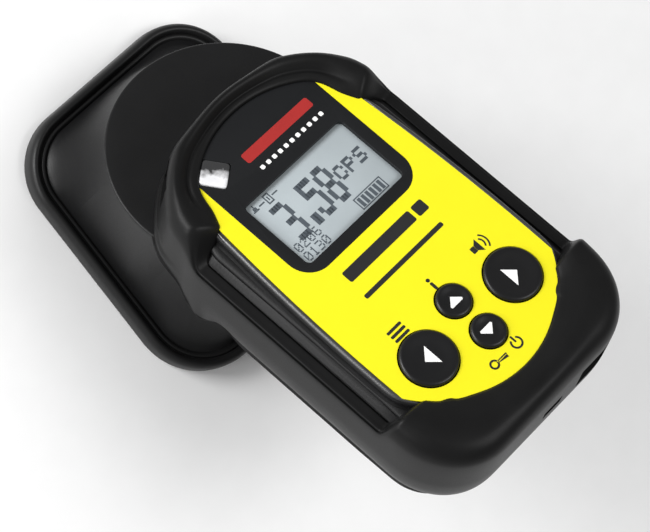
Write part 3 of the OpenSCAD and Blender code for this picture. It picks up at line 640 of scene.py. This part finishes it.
join(shell, plate("lower_plate", [lower] + holes, -.4, plate_low),
     plate("upper_plate", [upper, opening, lens_hole], -1.25, plate_low))
panel_half, PANEL_R, PANEL_ARC = panel_hi[0], 6.5, HEAD_R - .8
tongue_top = np.arccos(panel_half / PANEL_ARC)
top_arc = np.linspace(tongue_top, np.pi - tongue_top, 60)
turn = np.linspace(np.pi, 1.5 * np.pi, 20)
left_corner = np.column_stack([-panel_half + PANEL_R + PANEL_R * np.cos(turn), PANEL_R + PANEL_R * np.sin(turn)])
tongue = np.vstack([np.column_stack([PANEL_ARC * np.cos(top_arc), arc_y + PANEL_ARC * np.sin(top_arc)]),
                    left_corner, left_corner[::-1] * (-1, 1)])
window = round_box(view_mid[0], view_mid[1], view_w, view_h, 1.3)
surround_mesh = plate("display_surround", [tongue, window, lens_hole], panel_hi[2], panel_lo[2], .08)
surround = place("display_surround", surround_mesh, FINISHES["glossy_panel"], "case")
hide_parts("display_window")
print("display panel", (panel_hi - panel_lo).round(1), "window", view_w.round(1), view_h.round(1))

# %% [markdown]
# The display itself is a reflective liquid-crystal cell: pale blue-grey, with dark dots. It sits right behind the
# panel, so the cell is drawn up to it. The dots come from a tiny font of five by seven, one box for each dot, as the
# real driver would light them. The reading is of this lesson's own choosing.

# %% Display cell and its dots
cell_mesh = block("lcd_cell", (-view_w / 2 - .7, view_mid[1] - view_h / 2 - .7, view_lo[2]),
                  (view_w / 2 + .7, view_mid[1] + view_h / 2 + .7, -1.3), .15, 2)
lcd = place("lcd_cell", tidy(cell_mesh), FINISHES["display_glass"], "case")
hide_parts("lcd_panel")
FONT = {
    "0": "01110 10001 10011 10101 11001 10001 01110", "1": "00100 01100 00100 00100 00100 00100 01110",
    "2": "01110 10001 00001 00110 01000 10000 11111", "3": "11110 00001 00001 01110 00001 00001 11110",
    "5": "11111 10000 11110 00001 00001 10001 01110", "6": "01110 10000 10000 11110 10001 10001 01110",
    "8": "01110 10001 10001 01110 10001 10001 01110", ".": "00000 00000 00000 00000 00000 01100 01100",
    "c": "00000 00000 01110 10001 10000 10001 01110", "p": "00000 00000 11110 10001 11110 10000 10000",
    "s": "00000 00000 01111 10000 01110 00001 11110", "-": "00000 00000 00000 11111 00000 00000 00000",
    "^": "00100 00100 01110 01110 11111 00000 00000", "#": "11111 10001 10101 10101 10101 10001 11111",
}


def dots(text, x, y, w, h, gap=0.1, space=1.0, bold=0.0):
    """Centres and sizes of the dots of a text that starts at (x, y), with dots w wide and h high."""
    out = []
    for sign in text:
        rows = FONT[sign].split()
        wide = 5 if sign != "." else 3
        lit = [(i, j) for j, row in enumerate(rows) for i, one in enumerate(row) if one == "1"]
        out += [(x + (i + .5) * w, y + (6.5 - j) * h, w * (1 - gap + bold), h * (1 - gap)) for i, j in lit]
        x += (wide + space) * w
    return out


def boxes(name, spots, top, low):
    """Many flat boxes as one mesh: eight corners and six faces for each spot (x, y, width, height)."""
    s = np.array(spots)
    corner = np.array([(i, j, k) for k in (0, 1) for j in (0, 1) for i in (0, 1)], float)
    xy = s[:, None, :2] + (corner[None, :, :2] - .5) * s[:, None, 2:]
    height = np.broadcast_to(low + corner[None, :, 2:] * (top - low), xy.shape[:2] + (1,))
    faces = np.array([(0, 2, 3, 1), (4, 5, 7, 6), (0, 1, 5, 4), (2, 6, 7, 3), (0, 4, 6, 2), (1, 3, 7, 5)])
    faces = (faces[None] + np.arange(len(s))[:, None, None] * 8).reshape(-1, 4)
    mesh = bpy.data.meshes.new(name)
    mesh.from_pydata(to_row(np.concatenate([xy, height], -1)).reshape(-1, 3).tolist(), [], faces.tolist())
    mesh.update()
    return mesh


DOT_TOP, DOT_LOW = -1.27, -1.32
lcd_dots = dots("3.58", -12.4, 8.6, .78, 1.55, 0, 1.4, .5) + dots("cps", 5.6, 12.4, .54, .8, 0, 1.2, .3)
lcd_dots += dots("^-#-", -15.4, 20.3, .36, .4, .08) + dots("0206", -15.4, 6.9, .34, .36, .08)
lcd_dots += dots("0130", -15.4, 3.9, .34, .36, .08) + [(4.6 + 1.35 * i, 5.7, .9, 2.6) for i in range(6)]
lcd_dots += [(8, 4.1, 9, .3), (8, 7.4, 9, .3), (3.6, 5.75, .3, 3.5), (12.4, 5.75, .3, 3.5)]
place("lcd_dots", boxes("lcd_dots", lcd_dots, DOT_TOP, DOT_LOW), DARK_DOTS, "case")
print("display dots:", len(lcd_dots))

# %% [markdown]
# ## The alarm lens
# A small clear block lets the alarm light out. Clear plastic over a bright reflector looks like soft chrome, so it is
# a crowned pillow with a rounded square outline, and its colour is a painted reflection: dark running into bright
# across the lens.

# %% Lens pillow
def lens_painted_reflection_finish(at, towards, half):
    """Painted reflection in the base colour, for clear plastic over a white reflector: dark to bright along one
    direction across the lens, bent by a coarse noise.
    """
    material = finish("lens_painted_reflection", (.5, .5, .5), .12, grain=.04, specular=.8, coat=.6)
    tree = material.node_tree
    shader = tree.nodes["Principled BSDF"]
    across = tree.nodes.new("ShaderNodeVectorMath")
    across.operation = "DOT_PRODUCT"
    across.inputs[1].default_value = towards
    tree.links.new(tree.nodes["Texture Coordinate"].outputs["Object"], across.inputs[0])
    wave = tree.nodes.new("ShaderNodeTexNoise")
    wave.inputs["Scale"].default_value = 700
    tree.links.new(tree.nodes["Texture Coordinate"].outputs["Object"], wave.inputs["Vector"])
    bend = tree.nodes.new("ShaderNodeMath")
    bend.operation = "MULTIPLY_ADD"
    bend.inputs[1].default_value = half * 1.1
    tree.links.new(wave.outputs["Fac"], bend.inputs[0])
    tree.links.new(across.outputs["Value"], bend.inputs[2])
    middle = float(np.dot(at, towards)) + half * .55
    share = tree.nodes.new("ShaderNodeMapRange")
    share.inputs["From Min"].default_value = middle - half * .35
    share.inputs["From Max"].default_value = middle + half * .35
    tree.links.new(bend.outputs["Value"], share.inputs["Value"])
    # Painted reflection: near black where the lens would mirror shade, pale grey where it would mirror light.
    ramp = tree.nodes.new("ShaderNodeValToRGB")
    ramp.color_ramp.elements[0].color = (.02, .02, .021, 1)
    ramp.color_ramp.elements[1].color = (.78, .78, .8, 1)
    tree.links.new(share.outputs["Result"], ramp.inputs["Fac"])
    tree.links.new(ramp.outputs["Color"], shader.inputs["Base Color"])
    return material


turn = np.radians(LENS_TURN)
a = np.linspace(0, 2 * np.pi, 96, endpoint=False)
square_r = LENS_SIDE / 2 / (np.abs(np.cos(a)) ** 9 + np.abs(np.sin(a)) ** 9) ** (1 / 9)
reach, rise = np.array([(0, plate_low + .4), (.97, plate_low + .4), (1, plate_low + .6), (1, 0), (.985, .2),
                        (.93, .34), (.8, .42), (.5, .3), (.25, .18), (0, .15)]).T
lens_r = square_r[:, None] * reach[None]
lens_points = np.stack([lens_at[0] + lens_r * np.cos(a + turn)[:, None],
                        lens_at[1] + lens_r * np.sin(a + turn)[:, None], np.broadcast_to(rise, lens_r.shape)], -1)
# The lens pillow's colour is this painted reflection, dark to bright across it.
lens_painted_look = lens_painted_reflection_finish(to_row([*lens_at, 0]), -(case_x + case_y) * .5 ** .5, LENS_SIDE / 2 * MM)
lens = place("alarm_lens_pillow", grid("alarm_lens_pillow", to_row(lens_points), wrap_v=False), lens_painted_look,
             "case")
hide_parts("alarm_lens")

# %% [markdown]
# ## The keys
# Four rubber keys stand a little proud of the label. Each is turned: a skirt with a lip that keeps it in, a rounded
# edge, and a shallow dish for the finger. The white arrow is printed in the dish and moves with the key.

# %% Key caps
def turned(name, x, y, profile, count=96):
    """A profile of (radius, height) spun about a line along the case's Z through (x, y). Both ends lie on the axis."""
    a = np.linspace(0, 2 * np.pi, count, endpoint=False)[:, None]
    r, z = np.array(profile).T
    points = np.stack([x + r * np.cos(a), y + r * np.sin(a), np.broadcast_to(z, (count, len(z)))], -1)
    return grid(name, to_row(points), wrap_v=False, sharp=45)


DISH = .45


def cap_profile(r, lo, hi):
    """Lip, skirt, rounded edge and dish. At a share q of the radius the dish is DISH * smooth(.9 - q, 0, .5) deep."""
    bend = np.linspace(0, np.pi / 2, 8)
    edge = [(r - .9 + .9 * np.cos(t), hi - .75 + .75 * np.sin(t)) for t in bend]
    dish = [(r * q, hi - DISH * smooth(.9 - q, 0, .5)) for q in (.8, .7, .6, .5, .4)]
    return [(0, lo), (r + KEY_LIP, lo), (r + KEY_LIP, lo + 1), (r, lo + 1), (r, -.2)] + edge + dish + [(0, hi - DISH)]


ARROW_TURN = {"left": 90, "right": -90, "up": 0, "down": 180}
for key, (lo, hi) in KEYS.items():
    x, y = key_at[key]
    cap = place(f"key_cap_{key}", turned(f"key_cap_{key}", x, y, cap_profile(key_r[key], lo[2], hi[2])),
                FINISHES["button_rubber"], f"{key}_key")
    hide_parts(f"button_{key}")
    size = 2.8 if key_r[key] > 5 else 2.4
    tip = np.array([0 + .5j, -1 - .5j, 1 - .5j]) * size * np.exp(1j * np.radians(ARROW_TURN[key]))
    arrow = plate(f"key_arrow_{key}", [np.column_stack([x + tip.real, y + tip.imag])], hi[2] - .41, hi[2] - .51)
    place(f"key_arrow_{key}", arrow, WHITE_INK, f"{key}_key")
print("keys", {key: [float(v) for v in at.round(1)] for key, at in key_at.items()})

# %% [markdown]
# ## Printed marks
# The real label carries names and words. None of them is copied: a red bar and a row of small white squares stand for
# the heading on the panel, two plain stripes and a small square for the lines on the label, and simple signs, made
# from bars and arcs, for the words beside the keys.

# %% Marks
def arc_band(x, y, r, width, a, b, count=24):
    """A curved bar: the outer arc one way and the inner arc back."""
    t = np.radians(np.linspace(a, b, count))
    o = np.column_stack([x + (r + width / 2) * np.cos(t), y + (r + width / 2) * np.sin(t)])
    i = np.column_stack([x + (r - width / 2) * np.cos(t[::-1]), y + (r - width / 2) * np.sin(t[::-1])])
    return np.vstack([o, i])


INK = 0.03
heading = plate("heading_bar", [round_box(4.0, 31.9, 22.5, 2.9, .6)], INK, 0)
place("heading_bar", heading, RED_INK, "case")
rule = [round_box(-5.6 + 2.02 * i, 27.7, 1.1, 1.1, .3) for i in range(11)]
place("heading_rule", plate("heading_rule", rule, INK, 0), WHITE_INK, "case")
signs = [round_box(-1.6, -5.1, 23, 3.2, .5), round_box(12.6, -5.1, 3.4, 3.2, .5), round_box(-.2, -11.4, 27, 1.2, .4)]
signs += [round_box(-14.9, -22.4 + dy, 4.6, .75, .3) for dy in (-1.3, 0, 1.3)]
signs += [round_box(-.3, -20.6, .8, 2.2, .3), ring(-.3, -18.7, .5, 24)]
signs += [round_box(13.2, -21.2, 1.3, 1.7, .2), [(13.9, -21.9), (15.3, -23.1), (15.3, -19.3), (13.9, -20.5)]]
signs += [arc_band(15.0, -21.2, r, .42, -48, 48) for r in (1.6, 2.6)]
signs += [arc_band(-5.4, -43.3, 1.0, .5, 0, 359, 40), round_box(-2.9, -43.3, 3.2, .5, .1),
          round_box(-1.7, -43.9, .45, 1.0, .1)]
signs += [arc_band(2.4, -43.3, 1.35, .5, 125, 415, 40), round_box(2.4, -42.2, .5, 1.9, .2)]
place("label_signs", plate("label_signs", signs, INK, 0), BLACK_INK, "case")
print("signs on the label:", len(signs))

# %% [markdown]
# ## The head
# The head is a lofted shell. From a rounded four-sided flange it gathers up into the round flat top that carries the
# case. The two outlines are compared angle by angle, and each pair is joined by a curve that stays low and then
# climbs, which gives the hollow flank. Below, the skin turns in under the rim guard and up into the round bay of the
# tube.

# %% Outline of the flange
guard_lo, guard_hi = (np.array(v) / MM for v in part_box("rim_guard"))
FLANGE = {"head": (32.3, 16.5), "tail": (35.2, 18.5), "half": guard_hi[1]}


def flange(grow, count=900):
    """Four round corners joined by straights that spread towards the tail, grown outwards, evenly spaced by length."""
    (w1, r1), (w2, r2), half = FLANGE["head"], FLANGE["tail"], FLANGE["half"]
    slant = (w2 - w1) / (2 * half)
    lean = np.arctan(slant)
    x1, x2 = w1 + slant * r1 - r1 / np.cos(lean), w2 - slant * r2 - r2 / np.cos(lean)
    top, low = np.linspace(np.pi / 2, lean, 50), np.linspace(lean, -np.pi / 2, 50)
    right = np.concatenate([x1 + (r1 + grow) * np.cos(top) + 1j * (half - r1 + (r1 + grow) * np.sin(top)),
                            x2 + (r2 + grow) * np.cos(low) + 1j * (r2 - half + (r2 + grow) * np.sin(low))])
    line = np.concatenate([right, -np.conj(right[::-1])])
    line = np.append(line, line[0])
    along = np.concatenate([[0], np.cumsum(np.abs(np.diff(line)))])
    even = np.linspace(0, along[-1], count, endpoint=False)
    return np.column_stack([np.interp(even, along, line.real), np.interp(even, along, line.imag)])


def flange_at(angles, grow):
    """The flange's outline where rays at the given angles from the middle cross it."""
    p = flange(grow, 2400)
    a = np.arctan2(p[:, 1], p[:, 0])
    order = np.argsort(a)
    r = np.interp(angles, a[order], np.hypot(*p[order].T), period=2 * np.pi)
    return np.column_stack([r * np.cos(angles), r * np.sin(angles)])


# %% [markdown]
# The skin is a stack of closed rings, from the middle of the tube's bay, down its wall, out under the flange, up the
# flank and over the flat top. Two of the neck's screws would stand clear of the slim flank, so each has a round boss
# of its own.

# %% Skin of the head
TOP_R, TOP_Y, TOP_DEPTH = 30.0, 41.4, 17.0
FLANGE_LOW, FLANGE_TOP, BAY_R, BAY_TOP = 2.4, 5.0, 27.0, 18.2
angles = np.linspace(-np.pi, np.pi, 720, endpoint=False)
middle = to_row([0, TOP_Y, -TOP_DEPTH]) / MM


def on_top(r, drop=0.0):
    """A circle on the flat top, in frame mm: middle + r cos(a) * X + r sin(a) * Y of the case, lowered by drop."""
    flat = middle + np.outer(r * np.cos(angles), case_x) + np.outer(r * np.sin(angles), case_y)
    return flat - drop * case_z


def level(xy, z):
    """Gives a flat outline its height."""
    return np.column_stack([xy, np.full(len(xy), z)])


foot_ring = level(flange_at(angles, -4.2), FLANGE_TOP)
edge_ring = on_top(TOP_R, .5)
foot_r, edge_r = (np.hypot(*outline[:, :2].T) for outline in (foot_ring, edge_ring))
waist_r = np.maximum(np.minimum(foot_r, edge_r) - .6, BAY_R + .5)
waist = np.column_stack([(foot_ring + edge_ring)[:, :2] / (foot_r + edge_r)[:, None] * waist_r[:, None],
                         foot_ring[:, 2] + (edge_ring[:, 2] - foot_ring[:, 2]) * .22])
t = np.linspace(0, 1, 40)[:, None, None]
flank = (1 - t) ** 2 * foot_ring + 2 * t * (1 - t) * waist + t ** 2 * edge_ring
crown_rings = [on_top(TOP_R - .05, .25), on_top(TOP_R - .25, .06), on_top(TOP_R - .6)]
crown_rings += [on_top(r) for r in (26, 18, 8, 0)]
under = [level(flange_at(angles, g), h)
         for g, h in ((-2.1, FLANGE_TOP - .1), (-2.0, FLANGE_TOP - .4), (-2.0, FLANGE_LOW))]
bay = [level(np.column_stack([np.cos(angles) * r, np.sin(angles) * r]), h)
       for r, h in ((BAY_R, FLANGE_LOW), (BAY_R, BAY_TOP), (0, BAY_TOP))]
rings = bay[::-1] + under[::-1] + list(flank) + crown_rings
head = place("head_skin", grid("head_skin", np.array(rings).transpose(1, 0, 2) * MM, wrap_v=False, sharp=40),
             FINISHES["black_housing"], "case")
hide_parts("head_housing")
screw_lo, screw_hi = extent("neck_screws")
BOSS_R, BOSS_AT = 3.0, (17.0, 19.0)
boss = [(0, screw_lo[2] - 1.2), (1.8, screw_lo[2] - 1.1), (2.7, screw_lo[2] - .4), (BOSS_R, screw_lo[2] + .8),
        (BOSS_R + .3, screw_lo[2] + 4), (BOSS_R + .3, house_lo[2] + .2), (0, house_lo[2] + .2)]
join(head, *[turned(f"neck_boss_{side}", side * BOSS_AT[0], BOSS_AT[1], boss, 48) for side in (-1, 1)])
print("head skin:", len(head.data.polygons), "faces, top at", (middle[2]).round(1), "mm")

# %% [markdown]
# ## The rim guard
# A soft bead protects the flange. Its section is a fat outer roll, a fine groove, and a small inner lip that lies on
# the head. The section runs round the flange's outline.

# %% Bead
BEAD = [(-1.0, 0), (-.3, .35), (0, 1.6), (0, 3.4), (-.2, 5.2), (-.9, 6.25), (-1.75, 6.45), (-2.5, 5.95), (-2.85, 5.35),
        (-3.2, 5.7), (-3.75, 5.75), (-4.3, 5.35), (-4.55, 4.95), (-3.6, 4.9), (-2.1, 4.9), (-2.1, 2.5),
        (-3.2, 2.45), (-3.5, 2.2), (-3.5, .3), (-3.2, 0)]
edge = flange(0)
run = np.roll(edge, -1, 0) - np.roll(edge, 1, 0)
side_way = np.column_stack([-run[:, 1], run[:, 0]]) / np.hypot(*run.T)[:, None]
bead_line = loop(BEAD, 4)
bead_line[:, 1] = np.clip(bead_line[:, 1], 0, guard_hi[2])
bead_line[:, 0] = np.minimum(bead_line[:, 0], 0)
bead_points = np.concatenate([edge[:, None] + side_way[:, None] * bead_line[None, :, :1],
                              np.broadcast_to(bead_line[None, :, 1:], (len(edge), len(bead_line), 1))], -1)
guard = place("rim_bead", grid("rim_bead", bead_points * MM, sharp=60), FINISHES["guard_rubber"], "case")
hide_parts("rim_guard")

# %% [markdown]
# ## Floor, light and camera
# A pale floor and large soft lamps, as in a product studio. The big lamps are far from the object, so that the black
# rubber shows broad, soft reflections in place of small hard ones.

# %% Stage
def softbox(name, at, size, watts, aim=(0, 0, .03)):
    """A square lamp at a place in metres that looks at the aim."""
    lamp = bpy.data.lights.new(name, "AREA")
    lamp.shape, lamp.size, lamp.energy = "SQUARE", size, watts
    thing = bpy.data.objects.new(name, lamp)
    facing = (Vector(at) - Vector(aim)).to_track_quat("Z", "Y")
    thing.matrix_world = Matrix.Translation(at) @ facing.to_matrix().to_4x4()
    bpy.context.collection.objects.link(thing)


span = np.linspace(-1.5, 1.5, 5)
gx, gy = np.meshgrid(span, span, indexing="ij")
floor_mesh = grid("studio_floor", np.stack([gx, gy, gx * 0], -1), wrap_u=False, wrap_v=False)
floor = bpy.data.objects.new("studio_floor", floor_mesh)
bpy.context.collection.objects.link(floor)
floor.data.materials.append(finish("studio_paper", (0.93, 0.93, 0.93), 0.8, spread=0.01, grain=0.0, specular=0.1))
floor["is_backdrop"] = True
softbox("lamp_head_side", (-.5, .72, .42), .42, 8.5)
softbox("lamp_side", (-.95, .4, .30), .36, 3.6)
softbox("lamp_top", (.3, -.4, 1.2), .6, 6)
world = bpy.data.worlds.new("studio")
world.use_nodes = True
sky = world.node_tree.nodes["Background"]
sky.inputs["Color"].default_value = (1, 1, 1, 1)
sky.inputs["Strength"].default_value = 0.36
bpy.context.scene.world = world
bpy.context.scene.view_settings.view_transform = "Standard"

# %% [markdown]
# The camera looks down on the face from the left and a little from the head's end, through a long lens, so the
# outlines hardly converge. LOOK is the bearing of the view from Y towards X, DOWN its dip below the horizon, ROLL the
# turn about the line of sight, and FAR the distance in metres.

# %% Camera
LOOK, DOWN, ROLL, FAR = np.radians(114.494), np.radians(64.008), np.radians(73.143), 0.6226
AIM = np.array([-0.0022, -0.0283, 0.0450])
forward = np.array([np.sin(LOOK) * np.cos(DOWN), np.cos(LOOK) * np.cos(DOWN), -np.sin(DOWN)])
level_x = np.cross(forward, (0, 0, 1))
level_x /= np.linalg.norm(level_x)
level_y = np.cross(level_x, forward)
right = level_x * np.cos(ROLL) + level_y * np.sin(ROLL)
above = level_y * np.cos(ROLL) - level_x * np.sin(ROLL)
eye = bpy.data.cameras.new("camera")
eye.lens, eye.sensor_width, eye.clip_start = 144, 36, .01
camera = bpy.data.objects.new("camera", eye)
at = AIM - forward * FAR
camera.matrix_world = Matrix([[right[i], above[i], -forward[i], at[i]] for i in range(3)] + [[0, 0, 0, 1]])
bpy.context.collection.objects.link(camera)
bpy.context.scene.camera = camera

# %% [markdown]
# The looks must not outgrow the imported model, so both boxes are printed and can be compared.

# %% Sizes
looks_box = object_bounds()
for title, box in (("frame box", cad_box), ("looks box", looks_box)):
    print(title, [[round(c, 4) for c in v] for v in box])
